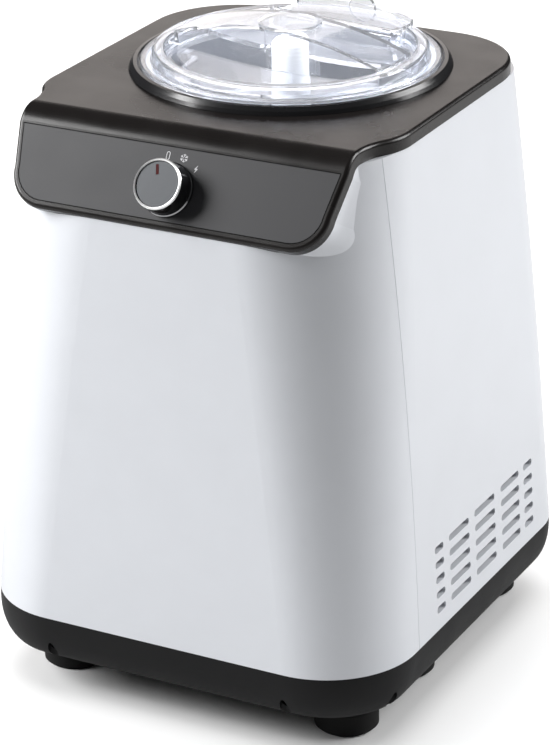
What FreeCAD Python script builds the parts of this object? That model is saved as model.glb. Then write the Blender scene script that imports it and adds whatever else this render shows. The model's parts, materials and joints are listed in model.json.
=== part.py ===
"""Compressor ice cream maker, in millimetres.

+Z is up and the feet stand on Z = 0.  The origin is under the middle of the base.
-Y is the front, with the slanted control panel.  The bowl axis is at Y = BOWL_Y.
"""
import FreeCAD, Part
import math
import os

from FreeCAD import Placement, Rotation
from FreeCAD import Vector as V

# ---- housing -------------------------------------------------------------
SHELL_BOTTOM = 49.0        # height of the line between the dark base and the white shells
SHELL_TOP = 324.0          # height of the flat top face
HALF_WIDTH_LOW = 123.0     # half width of the housing at SHELL_BOTTOM
HALF_WIDTH_HIGH = 103.2    # half width of the housing at SHELL_TOP
FRONT_LOW = -128.3         # front face at SHELL_BOTTOM
FRONT_HIGH = -113.1        # front face at SHELL_TOP
REAR_LOW = 128.3
REAR_HIGH = 113.3
CORNER_FRONT_LOW = 51.0
CORNER_FRONT_HIGH = 70.0
CORNER_REAR = 38.0
SIDE_BULGE = 1.9           # the sides stand this far outside a straight taper at mid height
SHELL_WALL = 2.6
SEAM_LOW = -71.9           # line between front and rear shell at SHELL_BOTTOM
SEAM_HIGH = -67.2          # and at SHELL_TOP
SEAM_GAP = 0.3
FIT_GAP = 0.15             # gap between parts that are screwed or clipped together
VENT_PAD = 0.9             # the shell is this much thicker round the vents

# ---- base and feet -------------------------------------------------------
BASE_BOTTOM = 23.7
BASE_FLOOR = 2.3
BASE_TUCK = 8.3            # the base skirt curves in by this much at its lower edge
FOOT_RADIUS = 17.3
FOOT_X = 84.0
NOTCH_RADIUS = 2.9         # screw notches in the skirt's lower edge
NOTCH_TOP = 34.0
NOTCH_SPOTS = [(70.5, -123.9), (116.4, -92.0), (70.5, 123.9)]
FOOT_ROWS = {"front": -80.0, "middle": -11.0, "rear": 96.0}

# ---- top cover and slanted panel ------------------------------------------
COVER_DEPTH = 7.35         # height of the dark band round the cover
COVER_WALL = 2.6
COVER_OVERHANG = 1.9
COVER_CORNER = 48.7
COVER_HOLE = 81.4
TONGUE_HALF = 94.5         # half width of the part that folds down to the panel
NECK_START = -45.0         # the cover narrows between these two Y values
NECK_END = -81.0
FOLD_RADIUS = 15.0
PANEL_TILT = 57.6          # turn of the panel from the horizontal, degrees
PANEL_SEAM = V(0, -94.9, 316.0)   # middle of the panel's upper edge
PANEL_LENGTH = 42.6        # down the slope, from the seam to the lower edge
PANEL_LOW_HALF = 90.9      # half width where the lower corners start
PANEL_CORNER = 20.0
PEDESTAL_FLARE = [(7.0, -1.4), (13.0, -0.8), (19.0, 1.4), (25.0, 4.0), (34.0, 5.0)]   # (depth, flare)
INSERT_RIM_SIDE = 3.4
INSERT_RIM_LOW = 4.0
COVER_ROUND = 2.2          # rounding of the cover's outer edge
INSERT_THICK = 1.7
KNOB_DOWN = 22.2           # knob axis, measured down the slope from the seam
KNOB_RADIUS = 13.0
KNOB_HEIGHT = 13.3
KNOB_REST_ANGLE = 15.0     # the pointer rests this far to the left of straight up

# ---- bowl, well and lid ----------------------------------------------------
BOWL_Y = 26.7
BOWL_RADIUS = 67.5
BOWL_WALL = 1.5
BOWL_BOTTOM = 200.0
BOWL_RIM = 322.3
TUBE_RADIUS = 11.0         # the tube up the middle of the bowl
TUBE_TOP = 262.0
WELL_RADIUS = 71.6
WELL_WALL = 1.2
WELL_BOTTOM = 194.0
WELL_RIM = 320.0
COIL_RADIUS = 74.4
COIL_TUBE = 2.5
HEADER_TUBE = 2.0          # the upright tube that joins the coil's turns
FOAM_RADIUS = 82.3
SHAFT_RADIUS = 5.0
SHAFT_TOP = 268.0
LID_RADIUS = 80.0
LID_TURN = -6.6            # the lid sits turned by this much on the bowl axis, degrees
LID_WALL = 2.2
LID_FLANGE_TOP = 329.4
LID_RING_TOP = 335.0
LID_RING_OUT = 73.5
LID_RING_IN = 66.5
LID_FLOOR = 325.0          # top of the finger pockets' floor at the middle
LID_DISH = 4.0             # the floor rises by this much towards the ring
GRIP_HALF = 16.0           # half width of the grip across the lid
GRIP_TOP = 347.2
GRIP_DROP = 13.0           # the grip's arched top falls by this much at its ends
HUB_RADIUS = 17.0
HUB_TOP = 348.0
FLAP_HINGE_Y = 43.0        # flap hinge, measured from the bowl axis before the lid is turned
FLAP_Z = 335.2
FLAP_HALF = 37.0
FLAP_PIN = 1.2
TAB_RADIUS = 8.5

# ---- machinery ---------------------------------------------------------------
MOTOR_X, MOTOR_Y = 45.0, -60.0
PINION_TEETH, PINION_MODULE = 12, 1.25
IDLER_TEETH = 56
IDLER_PINION_TEETH, OUTPUT_MODULE = 14, 1.5
OUTPUT_TEETH = 60
GEARBOX_BOTTOM = 140.0
GEARBOX_TOP = 182.0
COMPRESSOR_X, COMPRESSOR_Y = -46.0, 40.0
MOUNT_DX, MOUNT_DY = 38.0, 32.0   # rubber mounts, from the compressor's axis
HEADER_ANGLE = 205.0              # where the evaporator's upright tube stands on the well
LEG_SPOTS = [(0.0, -20.0), (38.0, 50.0), (22.0, -88.0), (74.0, -82.0)]
FAN_X, FAN_Y, FAN_Z = 80.0, 14.0, 79.0
FAN_RADIUS = 38.0
CONDENSER_X = 89.0
VENT_ROWS = [60.5 + 8.65 * row for row in range(5)]
VENT_COLUMNS = [(-48.8, -38.3), (-31.3, -6.3), (1.0, 26.9), (35.0, 59.0), (65.2, 76.7)]
VENT_HEIGHT = 3.9
GLAND_X, GLAND_Z = -60.0, 66.0

parts = {}


# ---- small helpers -------------------------------------------------------------
def box(x0, x1, y0, y1, z0, z1):
    return Part.makeBox(x1 - x0, y1 - y0, z1 - z0, V(x0, y0, z0))


def rod(radius, start, end):
    start, end = V(*start), V(*end)
    return Part.makeCylinder(radius, (end - start).Length, start, end - start)


def disc(radius, z0, z1, x=0.0, y=BOWL_Y):
    return Part.makeCylinder(radius, z1 - z0, V(x, y, z0))


def ring(outer, inner, z0, z1, x=0.0, y=BOWL_Y):
    return disc(outer, z0, z1, x, y).cut(disc(inner, z0 - 1, z1 + 1, x, y))


def turned(profile, x=0.0, y=BOWL_Y):
    """A solid of revolution about a vertical axis, from (radius, z) points."""
    points = [V(r + x, y, z) for r, z in profile]
    face = Part.Face(Part.makePolygon(points + points[:1]))
    return face.revolve(V(x, y, 0), V(0, 0, 1), 360)


def slab(wire, z0, z1):
    face = Part.Face(wire)
    face.translate(V(0, 0, z0))
    return face.extrude(V(0, 0, z1 - z0))


def arc(start, middle, end):
    return Part.Arc(V(*start), V(*middle), V(*end)).toShape()


def line(start, end):
    return Part.LineSegment(V(*start), V(*end)).toShape()


def on_circle(centre, radius, degrees):
    a = math.radians(degrees)
    return (centre[0] + radius * math.cos(a), centre[1] + radius * math.sin(a), 0)


def rounded_box_wire(half, front, rear, r_front, r_rear, z=0.0):
    """Outline with its own corner radius at the front and at the rear."""
    corners = [((half - r_front, front + r_front), r_front, -90),
               ((half - r_rear, rear - r_rear), r_rear, 0),
               ((-half + r_rear, rear - r_rear), r_rear, 90),
               ((-half + r_front, front + r_front), r_front, 180)]
    edges = []
    last = on_circle(*corners[3][:2], 270)
    for centre, radius, angle in corners:
        start = on_circle(centre, radius, angle)
        middle = on_circle(centre, radius, angle + 45)
        end = on_circle(centre, radius, angle + 90)
        edges += [line(last, start), arc(start, middle, end)]
        last = end
    wire = Part.Wire(edges)
    wire.translate(V(0, 0, z))
    return wire


def mix(low, high, share):
    return low + (high - low) * share


def height_share(z):
    return (z - SHELL_BOTTOM) / (SHELL_TOP - SHELL_BOTTOM)


def housing_half(z):
    share = height_share(z)
    return mix(HALF_WIDTH_LOW, HALF_WIDTH_HIGH, share) + SIDE_BULGE * 4 * share * (1 - share)


def housing_wire(z, inset):
    share = height_share(z)
    half = housing_half(z) - inset
    front = mix(FRONT_LOW, FRONT_HIGH, share) + inset
    rear = mix(REAR_LOW, REAR_HIGH, share) - inset
    corner = mix(CORNER_FRONT_LOW, CORNER_FRONT_HIGH, share) - inset
    return rounded_box_wire(half, front, rear, corner, CORNER_REAR - inset, z)


def housing_solid(inset, z0=SHELL_BOTTOM + FIT_GAP, z1=SHELL_TOP):
    middle = (z0 + z1) / 2
    return Part.makeLoft([housing_wire(z, inset) for z in (z0, middle, z1)], True, False)


def to_panel(shape):
    """Place a shape drawn flat (X right, Y up the slope, Z out of the panel)."""
    shape.Placement = Placement(PANEL_SEAM, Rotation(V(1, 0, 0), PANEL_TILT)).multiply(shape.Placement)
    return shape


def panel_wire(side_inset, low_inset, top):
    """Panel outline in the panel's own plane: sides that taper, rounded lower corners."""
    low = -(PANEL_LENGTH - low_inset)
    radius = PANEL_CORNER - side_inset
    half_top = TONGUE_HALF - side_inset
    half_low = PANEL_LOW_HALF - side_inset
    side_end = low + radius
    lean = radius * math.cos(math.radians(45))
    right = [(half_low - radius, low), (half_low - radius + lean, side_end - lean), (half_low, side_end)]
    left = [(-x, y) for x, y in reversed(right)]
    upper = [(half_top, 0), (half_top, top), (-half_top, top), (-half_top, 0)]
    if top <= 0:
        upper = [(half_top, top), (-half_top, top)]
    around = [right[2]] + upper + [left[0]]
    edges = [line((*a, 0), (*b, 0)) for a, b in zip(around, around[1:])]
    edges.append(arc(*[(x, y, 0) for x, y in left]))
    edges.append(line((*left[2], 0), (*right[0], 0)))
    edges.append(arc(*[(x, y, 0) for x, y in right]))
    return Part.Wire(edges)


def panel_block(side_inset, low_inset, deep, high, top=0.0):
    return to_panel(slab(panel_wire(side_inset, low_inset, top), deep, high))


def fold_strip(shallow, deep, back):
    """Strip that follows the top face, the fold and the panel, between two depths below them."""
    tilt = math.radians(PANEL_TILT)
    fold_y = PANEL_SEAM.y + (SHELL_TOP - PANEL_SEAM.z) / math.tan(tilt)
    bend_y = fold_y + FOLD_RADIUS * math.tan(tilt / 2)
    bend_z = SHELL_TOP - FOLD_RADIUS
    reach = PANEL_LENGTH + 20.0

    def side(depth):
        radius = FOLD_RADIUS - depth
        start = V(0, bend_y, SHELL_TOP - depth)
        middle = V(0, bend_y - radius * math.sin(tilt / 2), bend_z + radius * math.cos(tilt / 2))
        end = V(0, bend_y - radius * math.sin(tilt), bend_z + radius * math.cos(tilt))
        far = end + V(0, -math.cos(tilt), -math.sin(tilt)) * reach
        return start, middle, end, far

    upper = side(shallow)
    lower = side(deep)
    rear_top = V(0, back, SHELL_TOP - shallow)
    rear_low = V(0, back, SHELL_TOP - deep)
    edges = [Part.makeLine(rear_top, upper[0]), Part.Arc(*upper[:3]).toShape(), Part.makeLine(*upper[2:]),
             Part.makeLine(upper[3], lower[3]), Part.makeLine(lower[3], lower[2]),
             Part.Arc(lower[2], lower[1], lower[0]).toShape(), Part.makeLine(lower[0], rear_low),
             Part.makeLine(rear_low, rear_top)]
    width = HALF_WIDTH_LOW + 20.0
    face = Part.Face(Part.Wire(edges))
    face.translate(V(-width, 0, 0))
    return face.extrude(V(2 * width, 0, 0))


def pipe(points, radius, bend):
    """Round tube along straight runs joined by arcs of one bend radius."""
    points = [V(*p) for p in points]
    edges = []
    last = points[0]
    for before, corner, after in zip(points, points[1:], points[2:]):
        into = (corner - before).normalize()
        out = (after - corner).normalize()
        turn = into.getAngle(out)
        cut_back = bend * math.tan(turn / 2)
        start = corner - into * cut_back
        end = corner + out * cut_back
        inward = (out - into).normalize()
        centre = corner + inward * (bend / math.cos(turn / 2))
        middle = centre - inward * bend
        edges += [Part.makeLine(last, start), Part.Arc(start, middle, end).toShape()]
        last = end
    edges.append(Part.makeLine(last, points[-1]))
    path = Part.Wire(edges)
    section = Part.Wire(Part.makeCircle(radius, points[0], (points[1] - points[0])))
    return path.makePipeShell([section], True, True)


def gear(teeth, module, z0, z1, phase, bore):
    """Spur gear at the origin; phase turns the middle of its first tooth, in degrees."""
    pitch = teeth * module / 2
    root, tip = pitch - 1.25 * module, pitch + 0.9 * module
    step = 360.0 / teeth
    points = []
    for index in range(teeth):
        middle = phase + index * step
        for radius, offset in ((root, -0.33), (pitch, -0.22), (tip, -0.11),
                               (tip, 0.11), (pitch, 0.22), (root, 0.33)):
            points.append(V(*on_circle((0, 0), radius, middle + offset * step)))
    blank = Part.Face(Part.makePolygon(points + points[:1])).extrude(V(0, 0, z1 - z0))
    blank.translate(V(0, 0, z0))
    return blank.cut(disc(bore, z0 - 1, z1 + 1, 0, 0))


def screw(x, y, z, length, radius=1.8):
    """Pan head screw with a cross recess, its head at z, pointing down."""
    head = Part.makeCone(radius * 2.0, radius * 1.5, 2.0, V(x, y, z))
    recess = box(x - radius, x + radius, y - 0.4, y + 0.4, z + 1.0, z + 3)
    recess = recess.fuse(box(x - 0.4, x + 0.4, y - radius, y + radius, z + 1.0, z + 3))
    shank = disc(radius, z - length, z, x, y)
    return head.cut(recess).fuse(shank).removeSplitter()


def group(shapes):
    return Part.makeCompound(shapes)


# ---- housing -------------------------------------------------------------------
def seam_side(front):
    """Everything in front of (or behind) the sloping line between the two shells."""
    gap = -SEAM_GAP / 2 if front else SEAM_GAP / 2
    low, high = [V(-200, mix(SEAM_LOW, SEAM_HIGH, height_share(z)) + gap, z) for z in (0, 400)]
    reach = V(0, -200 if front else 300, 0)
    corners = [low, high, high + reach, low + reach]
    return Part.Face(Part.makePolygon(corners + corners[:1])).extrude(V(400, 0, 0))


def faces_up(face):
    u0, u1, v0, v1 = face.ParameterRange
    return face.normalAt(mix(u0, u1, 0.5), mix(v0, v1, 0.5)).z > 0.3


def round_border(block, radius):
    """Round the border of the block's upward faces; edges between two of them stay sharp."""
    edges = [edge for face in block.Faces if faces_up(face) for edge in face.Edges]
    border = [edge for edge in edges if sum(edge.isSame(other) for other in edges) == 1]
    return block.makeFillet(radius, border)


def make_shells():
    shell_top = SHELL_TOP - COVER_DEPTH - FIT_GAP
    lid_off = box(-200, 200, -200, 200, shell_top, SHELL_TOP + 50)
    recess = fold_strip(-80.0, COVER_DEPTH + FIT_GAP, SEAM_HIGH - 1.0).common(
        panel_block(-FIT_GAP, -FIT_GAP, -60, 120, 60))
    outside = housing_solid(0).fuse(pedestal(0, 22))
    inside = housing_solid(SHELL_WALL, SHELL_BOTTOM - 1, SHELL_TOP + 1)
    inside = inside.fuse(pedestal(SHELL_WALL, 18))
    back_wall = fold_strip(-80.0, COVER_DEPTH + FIT_GAP + SHELL_WALL, SEAM_HIGH - 1.0).common(
        panel_block(-SHELL_WALL, -SHELL_WALL, -60, 120, 60))
    shell = outside.cut(inside.cut(back_wall)).cut(recess).cut(lid_off)
    switch_hole = to_panel(Part.makeCylinder(14.0, 40, V(0, -KNOB_DOWN, -30)))
    front = shell.common(seam_side(True)).cut(switch_hole)
    vent_y0, vent_y1 = VENT_COLUMNS[0][0], VENT_COLUMNS[-1][1]
    pad = housing_solid(SHELL_WALL - 0.5).cut(housing_solid(SHELL_WALL + VENT_PAD))
    pad = pad.common(box(-200, 200, vent_y0 - 4, vent_y1 + 4, VENT_ROWS[0] - 5, VENT_ROWS[-1] + 5))
    rear = shell.common(seam_side(False)).fuse(pad)
    for z in VENT_ROWS:
        for y0, y1 in VENT_COLUMNS:
            rear = rear.cut(vent_slot(y0, y1, z))
    rear = rear.cut(rod(8.2, (GLAND_X, REAR_LOW - 20, GLAND_Z), (GLAND_X, REAR_LOW + 10, GLAND_Z)))
    parts["front_shell"] = front.Solids[0]
    parts["rear_shell"] = rear.Solids[0]


def pedestal(inset, top):
    """The raised seat of the panel, which flares out as it runs back into the housing."""
    wires = []
    for depth, flare in PEDESTAL_FLARE:
        wire = panel_wire(inset - flare, inset - flare, top)
        wire.translate(V(0, 0, -depth))
        wires.append(wire)
    return to_panel(Part.makeLoft(wires, True, False))


def vent_slot(y0, y1, z):
    r = VENT_HEIGHT / 2
    bar = box(-140, 140, y0 + r, y1 - r, z - r, z + r)
    ends = [rod(r, (-140, y, z), (140, y, z)) for y in (y0 + r, y1 - r)]
    return bar.fuse(ends)


def make_base():
    tuck = [(SHELL_BOTTOM, 0.2), (42.0, 0.5), (34.0, 2.2), (27.5, 5.2), (BASE_BOTTOM, BASE_TUCK)]
    outer = Part.makeLoft([housing_wire(z, inset) for z, inset in reversed(tuck)], True, False)
    inner_tuck = [(z + 0.5, inset + SHELL_WALL) for z, inset in tuck[:-1]]
    inner_tuck.append((BASE_BOTTOM + BASE_FLOOR, BASE_TUCK + SHELL_WALL - 1.0))
    inner = Part.makeLoft([housing_wire(z, inset) for z, inset in reversed(inner_tuck)], True, False)
    tray = outer.cut(inner)
    for x in range(-70, -20, 12):
        tray = tray.cut(box(x, x + 5, 40, 90, BASE_BOTTOM - 1, BASE_BOTTOM + BASE_FLOOR + 1))
    for x in (-FOOT_X, FOOT_X):
        for y in FOOT_ROWS.values():
            tray = tray.cut(disc(2.3, BASE_BOTTOM - 1, BASE_BOTTOM + BASE_FLOOR + 1, x, y))
    for x, y in NOTCH_SPOTS:
        tray = tray.cut(disc(NOTCH_RADIUS, BASE_BOTTOM - 1, NOTCH_TOP, x, y))
        tray = tray.cut(disc(NOTCH_RADIUS, BASE_BOTTOM - 1, NOTCH_TOP, -x, y))
    for x, y in mount_spots():
        tray = tray.cut(disc(2.1, BASE_BOTTOM - 1, BASE_BOTTOM + BASE_FLOOR + 1, x, y))
    parts["base_tray"] = tray


def make_feet():
    for side, x in (("left", -FOOT_X), ("right", FOOT_X)):
        for row, y in FOOT_ROWS.items():
            top = BASE_BOTTOM - 0.1
            foot = turned([(0, 6.0), (4.5, 6.0), (4.5, 0), (FOOT_RADIUS - 1.6, 0), (FOOT_RADIUS, 1.6),
                           (FOOT_RADIUS, 12.0), (FOOT_RADIUS - 1.5, 14.0), (FOOT_RADIUS - 1.5, top),
                           (2.0, top), (2.0, 9.0), (0, 9.0)], x, y)
            parts["foot_%s_%s" % (row, side)] = foot
    screws = [screw(x, y, BASE_BOTTOM + BASE_FLOOR + 0.1, 10.0, 1.8)
              for x in (-FOOT_X, FOOT_X) for y in FOOT_ROWS.values()]
    bolt_z = BASE_BOTTOM + BASE_FLOOR + 11.7
    screws += [screw(x, y, bolt_z, 14.0, 1.9) for x, y in mount_spots()]
    parts["base_screws"] = group(screws)


def cover_wire(inset):
    half = HALF_WIDTH_HIGH + COVER_OVERHANG - inset
    rear = REAR_HIGH + COVER_OVERHANG - inset
    corner = COVER_CORNER - inset
    step = half + inset - TONGUE_HALF
    run = NECK_START - NECK_END
    swing = 2 * math.atan2(step, run)
    neck_radius = run / (2 * math.sin(swing))
    degrees = math.degrees(swing)
    outer = (half + inset - neck_radius, NECK_START)
    inner = (TONGUE_HALF + neck_radius, NECK_END)
    big, small = neck_radius - inset, neck_radius + inset
    right = [((half, rear - corner, 0), (half, NECK_START, 0)),
             (on_circle(outer, big, 0), on_circle(outer, big, -degrees / 2), on_circle(outer, big, -degrees)),
             (on_circle(inner, small, 180 - degrees), on_circle(inner, small, 180 - degrees / 2),
              on_circle(inner, small, 180))]
    front = PANEL_SEAM.y + 4.0
    last = right[2][2]
    edges = [line(*right[0]), arc(*right[1]), arc(*right[2]), line(last, (last[0], front, 0)),
             line((last[0], front, 0), (-last[0], front, 0)), line((-last[0], front, 0), (-last[0], last[1], 0))]
    mirrored = [[(-x, y, z) for x, y, z in reversed(points)] for points in right]
    edges += [arc(*mirrored[2]), arc(*mirrored[1]), line(*mirrored[0])]
    left_centre = (-half + corner, rear - corner)
    right_centre = (half - corner, rear - corner)
    edges += [arc(*[on_circle(left_centre, corner, a) for a in (180, 135, 90)]),
              line(on_circle(left_centre, corner, 90), on_circle(right_centre, corner, 90)),
              arc(*[on_circle(right_centre, corner, a) for a in (90, 45, 0)])]
    return Part.Wire(edges)


def make_cover():
    fold_limit = panel_block(0, 0, -60, 60, 60)
    fold_limit_in = panel_block(COVER_WALL, COVER_WALL, -60, 60, 60)
    ahead = box(-200, 200, -200, NECK_END - 0.5, 0, 400)
    plate = slab(cover_wire(0), SHELL_TOP - COVER_DEPTH, SHELL_TOP)
    plate = plate.cut(ahead)
    hollow = slab(cover_wire(COVER_WALL), SHELL_TOP - COVER_DEPTH - 5, SHELL_TOP - COVER_WALL)
    hollow = hollow.cut(ahead)
    fold = fold_strip(0.0, COVER_DEPTH, NECK_END + 3.0).common(fold_limit)
    fold_hollow = fold_strip(COVER_WALL, COVER_DEPTH + 5, NECK_END + 3.0).common(fold_limit_in)
    cover = round_border(plate.fuse(fold).removeSplitter(), COVER_ROUND)
    cover = cover.cut(hollow.fuse(fold_hollow))
    cover = cover.cut(panel_block(INSERT_RIM_SIDE, INSERT_RIM_LOW, -INSERT_THICK - 0.1, 5))
    cover = cover.cut(disc(COVER_HOLE, SHELL_TOP - 20, SHELL_TOP + 5))
    cover = cover.cut(to_panel(Part.makeCylinder(4.4, 20, V(0, -KNOB_DOWN, -12))))
    parts["top_cover"] = cover.Solids[0]
    gap = FIT_GAP
    insert = panel_block(INSERT_RIM_SIDE + gap, INSERT_RIM_LOW + gap, -INSERT_THICK, 0, -gap)
    insert = insert.cut(to_panel(Part.makeCylinder(4.4, 20, V(0, -KNOB_DOWN, -12))))
    parts["control_panel"] = insert
    collar = turned([(81.2, 318.0), (81.2, 324.15), (86.2, 324.15), (85.4, 326.2), (83.6, 328.2),
                     (81.6, 328.4), (80.6, 327.6), (80.6, 326.9), (77.5, 326.9), (77.5, 324.4),
                     (79.6, 324.4), (79.6, 318.0)])
    parts["collar_ring"] = collar


# ---- knob and switch ---------------------------------------------------------------
def on_knob(shape):
    """Place a shape drawn about the knob's own axis, with the pointer straight up."""
    shape.rotate(V(0, 0, 0), V(0, 0, 1), KNOB_REST_ANGLE)
    shape.translate(V(0, -KNOB_DOWN, 0))
    return to_panel(shape)


def make_knob():
    lift = 0.4
    face_z = KNOB_HEIGHT - 1.0
    skirt = turned([(4.0, 3.0), (11.5, 3.0), (11.5, lift), (14.2, lift), (14.2, 1.6), (13.7, 2.2),
                    (KNOB_RADIUS + 0.3, KNOB_HEIGHT - 1.0), (KNOB_RADIUS - 0.3, KNOB_HEIGHT),
                    (KNOB_RADIUS - 1.0, KNOB_HEIGHT - 0.3), (KNOB_RADIUS - 1.2, face_z - 1.2),
                    (4.0, face_z - 1.2)], 0, 0)
    parts["knob_skirt"] = on_knob(skirt)
    core = disc(3.8, lift, face_z - 1.4, 0, 0).fuse(disc(8.5, face_z - 3.4, face_z - 1.4, 0, 0))
    parts["knob_skirt"] = parts["knob_skirt"].cut(on_knob(disc(8.7, face_z - 3.6, face_z, 0, 0)))
    core = core.cut(disc(2.55, -1, face_z - 3.0, 0, 0))
    parts["knob_core"] = on_knob(core)
    pointer = box(-0.75, 0.75, 5.0, 10.2, face_z - 0.5, face_z + 0.05)
    pocket = box(-0.85, 0.85, 4.9, 10.3, face_z - 0.6, face_z + 1)
    face = disc(KNOB_RADIUS - 1.35, face_z - 1.1, face_z, 0, 0).cut(pocket)
    parts["knob_face"] = on_knob(face)
    parts["knob_pointer"] = on_knob(pointer)
    shaft = disc(2.5, -11.0, face_z - 3.2, 0, 0)
    parts["switch_shaft"] = on_knob(shaft)
    body = box(-11, 11, -11, 11, -22.0, -10.4).fuse(disc(4.2, -10.4, -3.0, 0, 0))
    body = body.cut(disc(2.55, -12.0, 0, 0, 0))
    terminals = [box(x - 1.5, x + 1.5, y - 0.4, y + 0.4, -29.0, -22.0) for x in (-7, 0, 7) for y in (-6, 6)]
    for blade in terminals:
        body = body.fuse(blade)
    body.translate(V(0, -KNOB_DOWN, 0))
    parts["rotary_switch"] = to_panel(body)
    nut = ring(6.5, 4.25, -5.2, -2.9, 0, 0)
    nut.translate(V(0, -KNOB_DOWN, 0))
    parts["switch_nut"] = to_panel(nut)


# ---- lid and filler flap -------------------------------------------------------------
def turn_lid(shape):
    """Move a shape drawn about the origin to the bowl axis, turned as the lid sits."""
    shape.rotate(V(0, 0, 0), V(0, 0, 1), LID_TURN)
    shape.translate(V(0, BOWL_Y, 0))
    return shape


def grip_block(half, drop, radius):
    """The bar across the lid: an arched top, cut off round at the ring."""
    top = GRIP_TOP - drop
    ends = top - GRIP_DROP
    reach = LID_RING_IN + 4
    edges = [Part.Arc(V(-reach, -half, ends), V(0, -half, top), V(reach, -half, ends)).toShape(),
             line((reach, -half, ends), (reach, -half, 300)), line((reach, -half, 300), (-reach, -half, 300)),
             line((-reach, -half, 300), (-reach, -half, ends))]
    bar = Part.Face(Part.Wire(edges)).extrude(V(0, 2 * half, 0))
    return bar.common(disc(radius, 290, 360, 0, 0))


def lid_floor(depth):
    """Dished disc whose top is the pockets' floor, sunk by depth."""
    radius = LID_RING_IN + 1.0
    low = LID_FLOOR - depth
    profile = [line((0, 0, low), (0, 0, 290)), line((0, 0, 290), (radius, 0, 290)),
               line((radius, 0, 290), (radius, 0, low + LID_DISH)),
               arc((radius, 0, low + LID_DISH), (radius / 2, 0, low + LID_DISH / 4), (0, 0, low))]
    return Part.Face(Part.Wire(profile)).revolve(V(0, 0, 0), V(0, 0, 1), 360)


def make_lid():
    flange_low = LID_FLANGE_TOP - 2.3
    out, inner = LID_RING_OUT, LID_RING_IN
    rim = turned([(inner, LID_FLOOR), (inner, LID_RING_TOP - 1), (inner + 1, LID_RING_TOP),
                  (out - 1.2, LID_RING_TOP), (out, LID_RING_TOP - 1.2), (out + 0.6, LID_FLANGE_TOP),
                  (LID_RADIUS - 0.5, LID_FLANGE_TOP), (LID_RADIUS, LID_FLANGE_TOP - 0.5),
                  (LID_RADIUS, flange_low), (77.0, flange_low), (77.0, 323.8), (74.6, 323.8),
                  (74.6, flange_low), (out - LID_WALL + 0.5, LID_FLANGE_TOP - 1),
                  (out - LID_WALL, LID_RING_TOP - LID_WALL), (inner + LID_WALL, LID_RING_TOP - LID_WALL),
                  (inner + LID_WALL, LID_FLOOR)], 0, 0)
    floor = lid_floor(0).cut(lid_floor(LID_WALL))
    solid = rim.fuse(floor).fuse(grip_block(GRIP_HALF, 0, inner + 0.5).cut(lid_floor(1.0)))
    solid = solid.fuse(disc(HUB_RADIUS, 315.0, HUB_TOP, 0, 0))
    half = FLAP_HALF
    chute_front = FLAP_HINGE_Y - 3.5
    chute = box(-half, half, chute_front, 72, LID_FLOOR - 0.5, FLAP_Z - 1.5).common(disc(inner + 1.5, 290, 360, 0, 0))
    ears = [box(x - 1.5, x + 1.5, FLAP_HINGE_Y - 3.5, FLAP_HINGE_Y + 3.5, 325.0, FLAP_Z + 2.6)
            for x in (-half - 2.0, half + 2.0)]
    solid = solid.fuse([chute] + ears)
    under_grip = grip_block(GRIP_HALF - LID_WALL, LID_WALL, inner - LID_WALL)
    solid = solid.cut(under_grip).cut(disc(HUB_RADIUS - LID_WALL, 300.0, HUB_TOP - LID_WALL, 0, 0))
    wall = LID_WALL
    hole = box(-half + wall, half - wall, chute_front + wall, 65, 310, 350).common(
        disc(inner - 1.0, 290, 360, 0, 0))
    flap_room = box(-half - 0.3, half + 0.3, FLAP_HINGE_Y - 5, 90, FLAP_Z - 1.4, 350)
    solid = solid.cut(hole).cut(flap_room)
    barrel_room = rod(2.9, (-half - 0.3, FLAP_HINGE_Y, FLAP_Z), (half + 0.3, FLAP_HINGE_Y, FLAP_Z))
    pin_hole = rod(FLAP_PIN, (-half - 10, FLAP_HINGE_Y, FLAP_Z), (half + 10, FLAP_HINGE_Y, FLAP_Z))
    solid = solid.cut(barrel_room).cut(pin_hole)
    parts["lid"] = turn_lid(solid.removeSplitter().Solids[0])
    pins = [rod(FLAP_PIN, (side * (half - 7), FLAP_HINGE_Y, FLAP_Z), (side * (half + 3.4), FLAP_HINGE_Y, FLAP_Z))
            for side in (-1, 1)]
    parts["flap_pins"] = turn_lid(group(pins))
    parts["lid_gasket"] = turned([(74.7, 320.4), (76.9, 320.4), (76.9, 323.7), (74.7, 323.7)])


def make_flap():
    half = FLAP_HALF
    plate = box(-half, half, FLAP_HINGE_Y, 80, FLAP_Z - 1.1, FLAP_Z + 1.1)
    plate = plate.common(disc(LID_RING_OUT - 0.5, 300, 350, 0, 0))
    lip = box(-half, half, FLAP_HINGE_Y + 10, 80, FLAP_Z, FLAP_Z + 2.6)
    lip = lip.common(ring(LID_RING_OUT - 0.5, LID_RING_OUT - 2.5, 300, 350, 0, 0))
    barrel = rod(2.4, (-half, FLAP_HINGE_Y, FLAP_Z), (half, FLAP_HINGE_Y, FLAP_Z))
    tab = rod(TAB_RADIUS, (0, 69.0, FLAP_Z), (0, 71.2, FLAP_Z))
    tab = tab.cut(box(-20, 20, 60, 80, 300, FLAP_Z))
    flap = plate.fuse([lip, barrel, tab])
    flap = flap.cut(rod(FLAP_PIN + 0.06, (-50, FLAP_HINGE_Y, FLAP_Z), (50, FLAP_HINGE_Y, FLAP_Z)))
    parts["filler_flap"] = turn_lid(flap.removeSplitter())


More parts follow.
